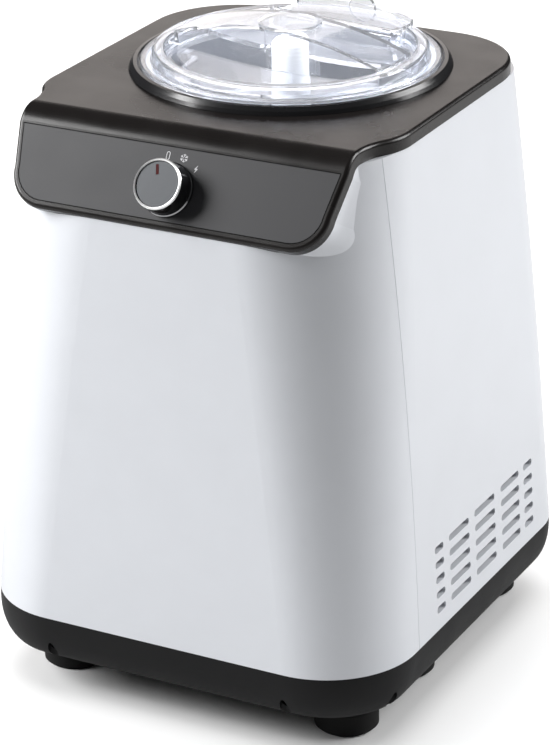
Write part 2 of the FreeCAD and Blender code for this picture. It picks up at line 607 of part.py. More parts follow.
# ---- bowl, paddle and cold well -----------------------------------------------------------
def make_bowl():
    out, wall = BOWL_RADIUS, BOWL_WALL
    tube_in = TUBE_RADIUS - 1.6
    bowl = turned([(tube_in, BOWL_BOTTOM), (out - 4, BOWL_BOTTOM), (out, BOWL_BOTTOM + 4),
                   (out, BOWL_RIM - wall - 0.4), (73.0, BOWL_RIM - wall - 0.4), (73.0, BOWL_RIM),
                   (out - wall, BOWL_RIM), (out - wall, BOWL_BOTTOM + 6), (out - wall - 3, BOWL_BOTTOM + 2.4),
                   (TUBE_RADIUS, BOWL_BOTTOM + 2.4), (TUBE_RADIUS, TUBE_TOP), (tube_in, TUBE_TOP)])
    parts["bowl"] = bowl
    ear = box(-65.6, -61.0, BOWL_Y - 4, BOWL_Y + 4, 311.5, 320.5)
    ear = ear.cut(rod(1.85, (-70, BOWL_Y, 317.0), (-50, BOWL_Y, 317.0)))
    parts["handle_ears"] = group([ear, ear.mirror(V(0, 0, 0), V(1, 0, 0))])
    bail_radius = 58.5
    path = Part.Arc(V(-bail_radius, BOWL_Y, 317), V(0, BOWL_Y - bail_radius, 317), V(bail_radius, BOWL_Y, 317))
    section = Part.Wire(Part.makeCircle(1.6, V(-bail_radius, BOWL_Y, 317), V(0, 1, 0)))
    hoop = Part.Wire(path.toShape()).makePipeShell([section], True, True)
    stubs = [rod(1.6, (side * (bail_radius - 1.0), BOWL_Y, 317), (side * 65.0, BOWL_Y, 317)) for side in (-1, 1)]
    hoop = hoop.fuse(stubs)
    parts["bowl_handle"] = hoop.removeSplitter()


def make_paddle():
    sleeve_in = TUBE_RADIUS + 0.6
    sleeve = ring(sleeve_in + 2.4, sleeve_in, 206.0, TUBE_TOP + 1.5)
    cap = turned([(0, TUBE_TOP + 1.0), (14.0, TUBE_TOP + 1.0), (14.0, 282.0), (10.5, 290.0), (10.0, 336.0),
                  (8.5, 338.0), (0, 338.0)])
    cap = cap.cut(hexagon(SHAFT_RADIUS + 0.6, TUBE_TOP - 5, SHAFT_TOP + 1.0))
    paddle = sleeve.fuse(cap)
    for side in (-1, 1):
        arm = box(12.5, 62.5, -1.6, 1.6, 205.5, 308.0)
        for low, high in ((212, 240), (246, 274), (280, 300)):
            arm = arm.cut(box(20, 54, -5, 5, low, high))
        arm.rotate(V(0, 0, 0), V(0, 0, 1), 35 if side > 0 else 215)
        arm.translate(V(0, BOWL_Y, 0))
        paddle = paddle.fuse(arm)
    parts["paddle"] = paddle.removeSplitter()


def hexagon(across, z0, z1):
    """Hexagonal prism on the bowl axis; across is half the distance over its corners."""
    points = [V(*on_circle((0, BOWL_Y), across, 60 * side)) for side in range(7)]
    prism = Part.Face(Part.makePolygon(points)).extrude(V(0, 0, z1 - z0))
    prism.translate(V(0, 0, z0))
    return prism


def make_well():
    out = WELL_RADIUS
    inner = out - WELL_WALL
    well = turned([(9.0, WELL_BOTTOM), (out, WELL_BOTTOM), (out, WELL_RIM - WELL_WALL),
                   (78.6, WELL_RIM - WELL_WALL), (78.6, WELL_RIM), (inner, WELL_RIM),
                   (inner, WELL_BOTTOM + WELL_WALL), (9.0, WELL_BOTTOM + WELL_WALL)])
    parts["cold_well"] = well
    hoops = [Part.makeTorus(COIL_RADIUS, COIL_TUBE, V(0, BOWL_Y, z)) for z in range(208, 310, 14)]
    header_x, header_y, _ = on_circle((0, BOWL_Y), COIL_RADIUS, HEADER_ANGLE)
    header = disc(HEADER_TUBE, 200.0, 306.0, header_x, header_y)
    parts["evaporator"] = header.fuse(hoops).removeSplitter()
    foam = turned([(13.0, 186.5), (FOAM_RADIUS, 186.5), (FOAM_RADIUS, 315.8), (77.4, 315.8), (77.4, 193.5),
                   (13.0, 193.5)])
    foam = foam.cut(disc(3.2, 180, 206, header_x, header_y))
    parts["foam_jacket"] = foam
    parts["shaft_seal"] = turned([(5.06, 188.0), (8.8, 188.0), (8.8, 195.6), (12.0, 195.6), (12.0, 197.2),
                                  (5.06, 197.2)])


# ---- drive --------------------------------------------------------------------------------
def drive_layout():
    """Centre of the idler gear, which meshes with the motor pinion and the output gear."""
    near = (PINION_TEETH + IDLER_TEETH) * PINION_MODULE / 2
    far = (IDLER_PINION_TEETH + OUTPUT_TEETH) * OUTPUT_MODULE / 2
    to_motor = V(MOTOR_X, MOTOR_Y - BOWL_Y, 0)
    span = to_motor.Length
    along = (far ** 2 - near ** 2 + span ** 2) / (2 * span)
    aside = math.sqrt(max(far ** 2 - along ** 2, 0.0))
    unit = V(to_motor).normalize()
    return V(0, BOWL_Y, 0) + unit * along + V(-unit.y, unit.x, 0) * aside


def mesh_phase(own, other, teeth, gap):
    """Turn a gear so that a tooth (or a gap) faces its neighbour."""
    angle = math.degrees(math.atan2(other[1] - own[1], other[0] - own[0]))
    return angle + (180.0 / teeth if gap else 0.0)


def gearbox_wire(grow):
    """Outline round the output gear and the motor: two arcs and their tangents."""
    big, small = 51.0 + grow, 39.5 + grow
    to_motor = V(MOTOR_X, MOTOR_Y - BOWL_Y, 0)
    heading = math.degrees(math.atan2(to_motor.y, to_motor.x))
    open_angle = math.degrees(math.acos((big - small) / to_motor.Length))
    here, there = (0, BOWL_Y), (MOTOR_X, MOTOR_Y)
    start, end = heading + open_angle, heading - open_angle
    wide = [on_circle(here, big, a) for a in (start, heading + 180, end)]
    slim = [on_circle(there, small, a) for a in (end, heading, start)]
    return Part.Wire([arc(*wide), line(wide[2], slim[0]), arc(*slim), line(slim[2], wide[0])])


def make_gearbox():
    idler = drive_layout()
    low, high = GEARBOX_BOTTOM, GEARBOX_TOP
    tub = slab(gearbox_wire(0), low, high - 4.1).cut(slab(gearbox_wire(-3), low + 4, high))
    tub = tub.cut(disc(5.06, low - 1, low + 10)).cut(disc(4.0, low - 1, low + 10, MOTOR_X, MOTOR_Y))
    tub = tub.cut(disc(3.0, low + 1.5, low + 10, idler.x, idler.y))
    parts["gearbox_housing"] = tub
    lid = slab(gearbox_wire(0), high - 4.0, high)
    lid = lid.cut(disc(5.06, low, high + 5)).cut(disc(3.0, low, high - 2, idler.x, idler.y))
    parts["gearbox_cover"] = lid
    parts["idler_axle"] = disc(3.0, low + 1.6, high - 2.1, idler.x, idler.y)
    output = gear(OUTPUT_TEETH, OUTPUT_MODULE, low + 19, low + 33,
                  mesh_phase((0, BOWL_Y), idler, OUTPUT_TEETH, False), SHAFT_RADIUS)
    output.translate(V(0, BOWL_Y, 0))
    parts["output_gear"] = output
    shaft = disc(SHAFT_RADIUS - 0.01, low + 0.5, TUBE_TOP - 6).fuse(
        hexagon(SHAFT_RADIUS, TUBE_TOP - 6.1, SHAFT_TOP))
    parts["output_shaft"] = shaft
    upper = gear(IDLER_PINION_TEETH, OUTPUT_MODULE, low + 18.9, low + 33,
                 mesh_phase(idler, (0, BOWL_Y), IDLER_PINION_TEETH, True), 3.06)
    lower = gear(IDLER_TEETH, PINION_MODULE, low + 7, low + 17,
                 mesh_phase(idler, (MOTOR_X, MOTOR_Y), IDLER_TEETH, False), 3.06)
    spacer = ring(8.0, 3.06, low + 16.9, low + 19, 0, 0)
    compound = lower.fuse([spacer, upper])
    compound.translate(V(idler.x, idler.y, 0))
    parts["idler_gear"] = compound.removeSplitter()
    pinion = gear(PINION_TEETH, PINION_MODULE, low + 6.5, low + 17.5,
                  mesh_phase((MOTOR_X, MOTOR_Y), idler, PINION_TEETH, True), 2.9)
    pinion.translate(V(MOTOR_X, MOTOR_Y, 0))
    parts["motor_pinion"] = pinion


def make_motor():
    top = GEARBOX_BOTTOM - 0.2
    x, y = MOTOR_X, MOTOR_Y
    can = turned([(3.2, top), (30.0, top), (30.0, top - 6), (27.0, top - 7), (27.0, top - 52), (23.0, top - 56),
                  (3.2, top - 56)], x, y)
    for angle in range(0, 360, 45):
        px, py, _ = on_circle((x, y), 18.0, angle)
        can = can.cut(disc(3.2, top - 60, top - 50, px, py))
    parts["paddle_motor"] = can
    parts["motor_shaft"] = disc(2.9, top - 60, top + 20, x, y)
    spots = [on_circle((0, BOWL_Y), 46.0, angle)[:2] for angle in (25, 115, 205, 295)]
    parts["gearbox_spacers"] = group([ring(5.0, 2.0, GEARBOX_TOP + 0.1, GEARBOX_TOP + 4.4, px, py)
                                      for px, py in spots])
    floor = BASE_BOTTOM + BASE_FLOOR
    parts["gearbox_legs"] = group([ring(5.0, 2.0, floor + 0.1, GEARBOX_BOTTOM - 0.1, px, py)
                                   for px, py in LEG_SPOTS])


# ---- cooling ---------------------------------------------------------------------------------
def mount_spots():
    return [(COMPRESSOR_X + dx, COMPRESSOR_Y + dy) for dx in (-MOUNT_DX, MOUNT_DX) for dy in (-MOUNT_DY, MOUNT_DY)]


def make_compressor():
    x, y = COMPRESSOR_X, COMPRESSOR_Y
    low = BASE_BOTTOM + BASE_FLOOR
    shell = turned([(0, low + 10), (30, low + 10), (44, low + 18), (50, low + 30), (50, low + 52), (51.5, low + 52),
                    (51.5, low + 56), (50, low + 56), (50, low + 76), (45, low + 90), (30, low + 100),
                    (0, low + 104)], x, y)
    parts["compressor"] = shell
    plate = box(x - MOUNT_DX - 7, x + MOUNT_DX + 7, y - MOUNT_DY - 7, y + MOUNT_DY + 7, low + 6.5, low + 9.0)
    plate = plate.cut(disc(24.0, low, low + 20, x, y)).fuse(ring(28.0, 24.0, low + 8.9, low + 9.9, x, y))
    corners = mount_spots()
    for px, py in corners:
        plate = plate.cut(disc(4.6, low, low + 20, px, py))
    parts["compressor_plate"] = plate
    parts["rubber_mounts"] = group([
        turned([(2.2, low + 0.1), (7.5, low + 0.1), (7.5, low + 6.3), (4.4, low + 6.3), (4.4, low + 9.2),
                (6.5, low + 9.2), (6.5, low + 11.5), (2.2, low + 11.5)], px, py) for px, py in corners])
    start_box = box(x - 16, x + 16, y - 64, y - 52.0, low + 34, low + 70)
    parts["start_relay"] = start_box


def make_condenser():
    x0, x1 = CONDENSER_X, CONDENSER_X + 18.0
    y0, y1 = FAN_Y - 52.0, FAN_Y + 52.0
    low, high = 36.0, 122.0
    rows = [low + 10 + 22 * row for row in range(4)]
    fin = box(x0, x1, 0, 0.6, low, high)
    for z in rows:
        for x in (x0 + 5, x0 + 13):
            fin = fin.cut(rod(3.05, (x, -1, z), (x, 2, z)))
    fins = []
    for index in range(26):
        copy = fin.copy()
        copy.translate(V(0, y0 + 4 * index + 1.7, 0))
        fins.append(copy)
    parts["condenser_fins"] = group(fins)
    tubes = []
    for z in rows:
        for x in (x0 + 5, x0 + 13):
            tubes.append(rod(3.0, (x, y0 - 3, z), (x, y1 + 3, z)))
        bend = Part.makeTorus(4.0, 3.0, V(x0 + 9, y1 + 3, z), V(0, 0, 1), -180, 180, 180)
        bend = bend.common(box(x0, x1, y1 + 3, y1 + 20, z - 5, z + 5))
        tubes.append(bend)
    for lower, upper in zip(rows, rows[1:]):
        tubes.append(rod(2.4, (x0 + 13, y0 - 1.5, lower), (x0 + 13, y0 - 1.5, upper)))
    coil = tubes[0].fuse(tubes[1:])
    parts["condenser_tubes"] = coil.removeSplitter()


def make_fan():
    x, y, z = FAN_X, FAN_Y, FAN_Z
    duct = box(x - 14, x + 7, y - 46, y + 46, z - 42, z + 42)
    duct = duct.cut(rod(FAN_RADIUS + 1.5, (x - 20, y, z), (x + 4.5, y, z)))
    duct = duct.cut(box(x + 4, x + 8, y - 43, y + 43, z - 39, z + 39))
    for angle in (0, 90, 180, 270):
        spoke = box(-3, 3, 11.5, FAN_RADIUS + 2, 0, 3)
        spoke.rotate(V(0, 0, 0), V(0, 0, 1), angle)
        spoke.rotate(V(0, 0, 0), V(0, 1, 0), 90)
        spoke.translate(V(x - 14, y, z))
        duct = duct.fuse(spoke)
    duct = duct.fuse(rod(12.0, (x - 14, y, z), (x - 11, y, z))).cut(rod(2.6, (x - 30, y, z), (x + 10, y, z)))
    parts["fan_shroud"] = duct.removeSplitter()
    parts["fan_motor"] = rod(16.0, (x - 32, y, z), (x - 14.2, y, z)).cut(
        rod(1.6, (x - 28, y, z), (x - 10, y, z)))
    hub = rod(11.0, (x - 9.5, y, z), (x + 2, y, z)).cut(rod(1.5, (x - 12, y, z), (x - 2, y, z)))
    blades = []
    for index in range(5):
        blade = box(-9, 9, 10.2, FAN_RADIUS - 0.5, -0.7, 0.7)
        blade.rotate(V(0, 0, 0), V(0, 1, 0), 28)
        blade.rotate(V(0, 0, 0), V(0, 0, 1), 72 * index)
        blade.rotate(V(0, 0, 0), V(0, 1, 0), 90)
        blade.translate(V(x - 3.8, y, z))
        blades.append(blade)
    parts["fan_wheel"] = hub.fuse(blades).removeSplitter()
    parts["fan_shaft"] = rod(1.5, (x - 27.5, y, z), (x - 2.5, y, z))


def make_pipes():
    x, y = COMPRESSOR_X, COMPRESSOR_Y
    reach = 20.0
    wall = y - math.sqrt(50.0 ** 2 - reach ** 2) - 1.8
    coil_x, coil_y = CONDENSER_X + 5.0, FAN_Y - 52.0 - 3.1
    parts["discharge_pipe"] = pipe([(x + reach, wall, 60), (x + reach, -50.0, 60), (coil_x, -50.0, 60),
                                    (coil_x, -50.0, 46), (coil_x, coil_y, 46)], 2.5, 4.0)
    header_x, header_y, _ = on_circle((0, BOWL_Y), COIL_RADIUS, HEADER_ANGLE)
    wall = y - math.sqrt(50.0 ** 2 - (header_x - x) ** 2) - 1.8
    parts["suction_pipe"] = pipe([(header_x, wall, 90), (header_x, wall - 24, 90), (header_x, wall - 24, 150),
                                  (header_x, header_y, 150), (header_x, header_y, 199.9)], 2.5, 4.0)
    drier_x, drier_y = -6.0, 102.0
    parts["filter_drier"] = turned([(0, 50), (2.5, 50), (2.5, 56), (8, 60), (8, 104), (2.5, 108), (2.5, 116),
                                    (0, 116)], drier_x, drier_y)
    liquid_x, liquid_y = CONDENSER_X + 9.0, FAN_Y + 52.0 + 10.4
    parts["liquid_pipe"] = pipe([(liquid_x, liquid_y, 112), (liquid_x, liquid_y + 12, 112),
                                 (drier_x, liquid_y + 12, 112), (drier_x, liquid_y + 12, 128),
                                 (drier_x, drier_y, 128), (drier_x, drier_y, 116.1)], 2.0, 3.5)


def make_board():
    x = -110.0
    board = box(x, x + 1.6, 10, 90, 130, 180)
    for y, z, wide, tall, deep in ((20, 138, 22, 18, 16), (50, 136, 30, 26, 20), (24, 162, 14, 12, 12),
                                   (64, 166, 20, 10, 14)):
        board = board.fuse(box(x + 1.6, x + 1.6 + deep, y, y + wide, z, z + tall))
    parts["control_board"] = board
    posts = []
    for y in (14, 86):
        for z in (134, 176):
            reach = housing_half(z) - SHELL_WALL - 0.7
            posts.append(rod(3.0, (-reach, y, z), (x - 0.1, y, z)))
    parts["board_posts"] = group(posts)


def make_gland():
    y = REAR_LOW - 0.1
    gland = rod(8.0, (GLAND_X, y - 10, GLAND_Z), (GLAND_X, y, GLAND_Z))
    gland = gland.fuse(rod(11.5, (GLAND_X, y - 12, GLAND_Z), (GLAND_X, y - 5.5, GLAND_Z)))
    parts["cord_gland"] = gland.cut(rod(3.4, (GLAND_X, y - 20, GLAND_Z), (GLAND_X, y + 5, GLAND_Z)))


make_base()
make_feet()
make_cover()
make_shells()
make_knob()
make_lid()
make_flap()
make_bowl()
make_paddle()
make_well()
make_gearbox()
make_motor()
make_compressor()
make_condenser()
make_fan()
make_pipes()
make_board()
make_gland()

os.makedirs("parts", exist_ok=True)
for name, shape in parts.items():
    shape.exportStep("parts/%s.step" % name)
    print(name, "valid:", shape.isValid(), "solids:", len(shape.Solids), "mm3:", round(shape.Volume))
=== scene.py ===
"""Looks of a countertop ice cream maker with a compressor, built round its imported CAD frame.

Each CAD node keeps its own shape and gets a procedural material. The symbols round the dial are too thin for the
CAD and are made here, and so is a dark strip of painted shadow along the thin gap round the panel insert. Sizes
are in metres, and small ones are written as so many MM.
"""

import json
import math

import bmesh
import bpy
from mathutils import Matrix, Vector


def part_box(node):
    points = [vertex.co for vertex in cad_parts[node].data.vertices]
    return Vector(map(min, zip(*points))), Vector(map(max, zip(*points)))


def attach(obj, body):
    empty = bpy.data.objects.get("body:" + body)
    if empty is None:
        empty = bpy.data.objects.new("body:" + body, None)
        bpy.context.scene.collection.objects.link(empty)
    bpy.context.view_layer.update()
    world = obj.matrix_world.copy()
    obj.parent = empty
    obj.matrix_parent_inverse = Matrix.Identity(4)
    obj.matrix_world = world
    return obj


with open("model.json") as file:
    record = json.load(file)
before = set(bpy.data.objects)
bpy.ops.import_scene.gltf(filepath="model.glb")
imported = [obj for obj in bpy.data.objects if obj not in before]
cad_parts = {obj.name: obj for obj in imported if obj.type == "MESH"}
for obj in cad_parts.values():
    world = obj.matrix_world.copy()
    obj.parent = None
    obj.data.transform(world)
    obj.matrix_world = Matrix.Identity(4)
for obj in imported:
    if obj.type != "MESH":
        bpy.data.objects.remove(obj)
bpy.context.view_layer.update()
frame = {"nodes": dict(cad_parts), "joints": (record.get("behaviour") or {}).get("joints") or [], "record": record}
nodes = frame["nodes"]
joints = {joint["name"]: joint for joint in frame["joints"]}

MM = 0.001

# ---------------------------------------------------------------- camera

CAMERA_PLACE = Vector((0.75985, -1.41016, 0.85240))
CAMERA_YAW = 0.49718  # radians, to the left from looking along +Y
CAMERA_PITCH = -0.40921
CAMERA_ROLL = -0.01959
CAMERA_LENS = 154.97  # mm, as is the sensor's width
CAMERA_SENSOR = 36
CAMERA_SHIFT = (0.01487, -0.0042)
CAMERA_NEAREST = 0.05
CAMERA_FURTHEST = 50


def make_camera():
    """The camera of the main view, looking down at the front right corner."""
    ahead = Vector(
        (
            -math.sin(CAMERA_YAW) * math.cos(CAMERA_PITCH),
            math.cos(CAMERA_YAW) * math.cos(CAMERA_PITCH),
            math.sin(CAMERA_PITCH),
        )
    )
    level = Vector((math.cos(CAMERA_YAW), math.sin(CAMERA_YAW), 0))
    above = level.cross(ahead)
    right = math.cos(CAMERA_ROLL) * level + math.sin(CAMERA_ROLL) * above
    up = math.cos(CAMERA_ROLL) * above - math.sin(CAMERA_ROLL) * level
    data = bpy.data.cameras.new("camera")
    data.lens = CAMERA_LENS
    data.sensor_width = CAMERA_SENSOR
    data.shift_x, data.shift_y = CAMERA_SHIFT
    data.clip_start = CAMERA_NEAREST
    data.clip_end = CAMERA_FURTHEST
    camera = bpy.data.objects.new("camera", data)
    bpy.context.scene.collection.objects.link(camera)
    turn = Matrix((right, up, -ahead)).transposed().to_4x4()
    camera.matrix_world = Matrix.Translation(CAMERA_PLACE) @ turn
    bpy.context.scene.camera = camera


# ---------------------------------------------------------------- dial

KNOB_EDGE = 12.4 * MM  # height over the panel of the knob's front edge, where its painted highlight starts
KNOB_EDGE_BLEND = 0.1 * MM  # how far above and below that the darker side blends into the edge's painted highlight


def dial_place():
    """Frame on the panel round the knob's axis: X to the right, Y up the slope and Z out of the panel."""
    knob = joints["knob_turn"]
    out = -Vector(knob["axis"])
    right = Vector((1, 0, 0))
    turn = Matrix((right, out.cross(right), out)).transposed().to_4x4()
    return Matrix.Translation(Vector(knob["pos_m"])) @ turn


# ---------------------------------------------------------------- node trees

NOISE_LOW = 0.3  # nearly all of a noise lies between these
NOISE_HIGH = 0.7


class Tree:
    """A node tree, with short ways to add and join nodes."""

    def __init__(self, tree):
        self.tree = tree

    def add(self, kind, **settings):
        """A node of that kind, with those properties set."""
        node = self.tree.nodes.new(kind)
        for name, value in settings.items():
            setattr(node, name, value)
        return node

    def join(self, out, into):
        """Links an output to an input."""
        self.tree.links.new(out, into)

    def calculate(self, operation, *values):
        """The result of a calculation on numbers and outputs of other nodes."""
        node = self.add("ShaderNodeMath", operation=operation)
        for value, socket in zip(values, node.inputs):
            if isinstance(value, float):
                socket.default_value = value
            else:
                self.join(value, socket)
        return node.outputs["Value"]


class Nodes(Tree):
    """A new material's node tree, with textures whose sizes are in metres."""

    def __init__(self, name):
        self.material = bpy.data.materials.new(name)
        self.material.use_nodes = True
        super().__init__(self.material.node_tree)
        self.shader = self.tree.nodes["Principled BSDF"]
        self.output = self.tree.nodes["Material Output"]
        self.place = self.add("ShaderNodeTexCoord").outputs["Object"]

    def noise(self, size, stretch=None):
        """Noise with features about that size across. A stretch below 1 draws them out along its axis."""
        node = self.add("ShaderNodeTexNoise")
        node.inputs["Scale"].default_value = 1 / size
        place = self.place
        if stretch:
            mapping = self.add("ShaderNodeMapping")
            mapping.inputs["Scale"].default_value = stretch
            self.join(place, mapping.inputs["Vector"])
            place = mapping.outputs["Vector"]
        self.join(place, node.inputs["Vector"])
        return node.outputs["Fac"]

    def cells(self, size):
        """Rounded cells of about that size, 0 at their middles."""
        node = self.add("ShaderNodeTexVoronoi", feature="SMOOTH_F1")
        node.inputs["Scale"].default_value = 1 / size
        self.join(self.place, node.inputs["Vector"])
        return node.outputs["Distance"]

    def distance(self, centre):
        """Distance of the surface from a point."""
        node = self.add("ShaderNodeVectorMath", operation="DISTANCE")
        node.inputs[1].default_value = centre
        self.join(self.place, node.inputs[0])
        return node.outputs["Value"]

    def height_over(self, place, direction):
        """How far the surface is from a plane through place, along a direction."""
        offset = self.add("ShaderNodeVectorMath", operation="SUBTRACT")
        offset.inputs[1].default_value = place
        self.join(self.place, offset.inputs[0])
        along = self.add("ShaderNodeVectorMath", operation="DOT_PRODUCT")
        along.inputs[1].default_value = direction
        self.join(offset.outputs["Vector"], along.inputs[0])
        return along.outputs["Value"]

    def rings(self, centre, pitch):
        """A wave that rises and falls once in each pitch away from a point."""
        angle = self.calculate("MULTIPLY", self.distance(centre), math.tau / pitch)
        return self.calculate("SINE", angle)

    def spread(self, source, low, high, start=NOISE_LOW, stop=NOISE_HIGH):
        """Goes from low to high as source goes from start to stop."""
        node = self.add("ShaderNodeMapRange")
        node.inputs["From Min"].default_value = start
        node.inputs["From Max"].default_value = stop
        node.inputs["To Min"].default_value = low
        node.inputs["To Max"].default_value = high
        self.join(source, node.inputs["Value"])
        return node.outputs["Result"]

    def tint(self, source, first_colour, last_colour):
        """Goes from the first colour to the last as source, such as a noise, rises."""
        node = self.add("ShaderNodeValToRGB")
        first, last = node.color_ramp.elements
        first.position, last.position = NOISE_LOW, NOISE_HIGH
        first.color = (*first_colour, 1)
        last.color = (*last_colour, 1)
        self.join(source, node.inputs["Fac"])
        return node.outputs["Color"]

    def bump(self, source, depth):
        """Relief of that depth on the shader."""
        node = self.add("ShaderNodeBump")
        node.inputs["Distance"].default_value = depth
        self.join(source, node.inputs["Height"])
        self.join(node.outputs["Normal"], self.shader.inputs["Normal"])


# ---------------------------------------------------------------- kinds of surface

COAT_ROUGHNESS = 0.08
ROUGHNESS_DRIFT = 0.04


def shade(colour, factor):
    """The colour times factor, at most 1."""
    return tuple(min(1, c * factor) for c in colour)


def surface(
    name,
    colour,
    rough,
    metal=0.0,
    drift=0.04,
    drift_size=30 * MM,
    grain=0.01 * MM,
    grain_size=0.4 * MM,
    coat=0.0,
    specular=0.5,
    stretch=None,
):
    """A material whose colour and gloss drift slowly, with a fine grain in its surface.

    The colour drifts by that share of itself, over patches of drift_size. The grain has that depth, and
    stretch draws it out along an axis.
    """
    made = Nodes(name)
    slow = made.noise(drift_size)
    fine = made.noise(grain_size, stretch)
    shader = made.shader
    shader.inputs["Metallic"].default_value = metal
    shader.inputs["Coat Weight"].default_value = coat
    shader.inputs["Coat Roughness"].default_value = COAT_ROUGHNESS
    shader.inputs["Specular IOR Level"].default_value = specular
    colours = made.tint(slow, shade(colour, 1 - drift), shade(colour, 1 + drift))
    made.join(colours, shader.inputs["Base Color"])
    roughness = made.spread(slow, rough - ROUGHNESS_DRIFT, rough + ROUGHNESS_DRIFT)
    made.join(roughness, shader.inputs["Roughness"])
    made.bump(fine, grain)
    return made.material


def clear_plastic(name):
    """Clear moulded plastic, which lets lamps through to what is under it."""
    made = Nodes(name)
    shader = made.shader
    shader.inputs["Transmission Weight"].default_value = 0.95
    shader.inputs["IOR"].default_value = 1.35
    slow = made.noise(20 * MM)
    made.join(made.tint(slow, (0.95, 0.96, 0.99), (0.98, 0.985, 1.0)), shader.inputs["Base Color"])
    made.join(made.spread(slow, 0.0, 0.03), shader.inputs["Roughness"])
    made.bump(made.noise(6 * MM), 0.02 * MM)
    through = made.add("ShaderNodeBsdfTransparent")
    through.inputs["Color"].default_value = (0.9, 0.92, 0.96, 1)
    path = made.add("ShaderNodeLightPath")
    choose = made.add("ShaderNodeMixShader")
    made.join(path.outputs["Is Shadow Ray"], choose.inputs[0])
    made.join(shader.outputs["BSDF"], choose.inputs[1])
    made.join(through.outputs["BSDF"], choose.inputs[2])
    made.join(choose.outputs["Shader"], made.output.inputs["Surface"])
    return made.material


def spun_metal(name, colour, rough, centre, pitch, depth, metal=1.0):
    """Metal, or paint over metal, that was turned on a lathe, with fine rings about a point."""
    made = Nodes(name)
    shader = made.shader
    shader.inputs["Metallic"].default_value = metal
    slow = made.noise(8 * MM)
    made.join(made.tint(slow, shade(colour, 0.97), shade(colour, 1.03)), shader.inputs["Base Color"])
    made.join(made.spread(slow, rough - 0.03, rough + 0.03), shader.inputs["Roughness"])
    made.bump(made.rings(centre, pitch), depth)
    return made.material


def knob_chrome_painted_highlight(name, dial):
    """Chrome with a painted highlight: its base colour is pale on the knob's front edge and darker on its side.
    The side is mirror smooth and the edge satin.
    """
    made = Nodes(name)
    shader = made.shader
    shader.inputs["Metallic"].default_value = 1.0
    height = made.height_over(dial.translation, dial.col[2].to_3d())
    edge = made.spread(height, 0.0, 1.0, KNOB_EDGE - KNOB_EDGE_BLEND, KNOB_EDGE + KNOB_EDGE_BLEND)
    # Painted highlight: the base colour rises from dark grey on the side to white on the front edge.
    made.join(made.tint(edge, (0.32, 0.32, 0.33), (1.0, 1.0, 1.0)), shader.inputs["Base Color"])
    made.join(made.spread(edge, 0.1, 0.5, 0.0, 1.0), shader.inputs["Roughness"])
    made.bump(made.noise(0.5 * MM), 0.002 * MM)
    return made.material


def foam(name, colour):
    """Sprayed foam: cells with darker gaps between them."""
    made = Nodes(name)
    cells = made.cells(4 * MM)
    made.join(made.tint(cells, shade(colour, 1.08), shade(colour, 0.7)), made.shader.inputs["Base Color"])
    made.join(made.spread(made.noise(20 * MM), 0.8, 0.95), made.shader.inputs["Roughness"])
    made.bump(cells, 0.6 * MM)
    return made.material


def circuit_board(name, colour):
    """Lacquered board with tracks that show through in a lighter green."""
    made = Nodes(name)
    tracks = made.add("ShaderNodeTexBrick", offset=0.35)
    tracks.inputs["Scale"].default_value = 60.0
    tracks.inputs["Mortar Size"].default_value = 0.06
    tracks.inputs["Color1"].default_value = (*colour, 1)
    tracks.inputs["Color2"].default_value = (*shade(colour, 0.8), 1)
    tracks.inputs["Mortar"].default_value = (*shade(colour, 1.9), 1)
    made.join(made.place, tracks.inputs["Vector"])
    made.join(tracks.outputs["Color"], made.shader.inputs["Base Color"])
    made.join(made.spread(made.noise(10 * MM), 0.25, 0.4), made.shader.inputs["Roughness"])
    made.bump(tracks.outputs["Fac"], 0.05 * MM)
    return made.material


# ---------------------------------------------------------------- materials of the CAD nodes

DRAWN_ALONG_SLOPE = (1, 0.04, 0.04)  # stretches of a grain
DRAWN_UPRIGHT = (1, 1, 0.03)
DRAWN_LEVEL = (0.03, 0.03, 1)


def casing_materials():
    """Shells, cover, collar and panel, and the base with its screws and feet."""
    return {
        "white_shell": surface(
            "pearl_white", (0.715, 0.735, 0.775), 0.36, metal=0.15, coat=0.35, drift=0.012
        ),
        "cover_black": surface("satin_black", (0.012, 0.0105, 0.010), 0.25, drift=0.08, specular=0.3),
        "collar_black": surface("gloss_black", (0.014, 0.014, 0.015), 0.2, drift=0.08),
        "panel_grey": surface(
            "panel_grey",
            (0.034, 0.034, 0.037),
            0.42,
            drift=0.05,
            specular=0.3,
            grain_size=0.9 * MM,
            stretch=DRAWN_ALONG_SLOPE,
        ),
        "base_black": surface(
            "base_black",
            (0.009, 0.009, 0.0095),
            0.5,
            drift=0.08,
            specular=0.17,
            grain=0.03 * MM,
            grain_size=0.7 * MM,
        ),
        "foot_rubber": surface(
            "foot_rubber", (0.014, 0.014, 0.014), 0.8, drift=0.1, grain=0.05 * MM, specular=0.2
        ),
        "screw_steel": surface("screw_steel", (0.55, 0.55, 0.56), 0.3, metal=1.0, drift_size=4 * MM),
    }


def knob_materials():
    """The knob's side and edge, its face, and the pointer on that."""
    dial = dial_place()
    axis = dial.translation
    return {
        "chrome": knob_chrome_painted_highlight("chrome", dial),
        "knob_grey": spun_metal(
            "knob_grey", (0.05, 0.054, 0.06), 0.38, axis, pitch=0.6 * MM, depth=0.004 * MM, metal=0.3
        ),
        "pointer_red": surface(
            "pointer_red", (0.06, 0.002, 0.003), 0.6, drift=0.1, drift_size=2 * MM, specular=0.15
        ),
    }


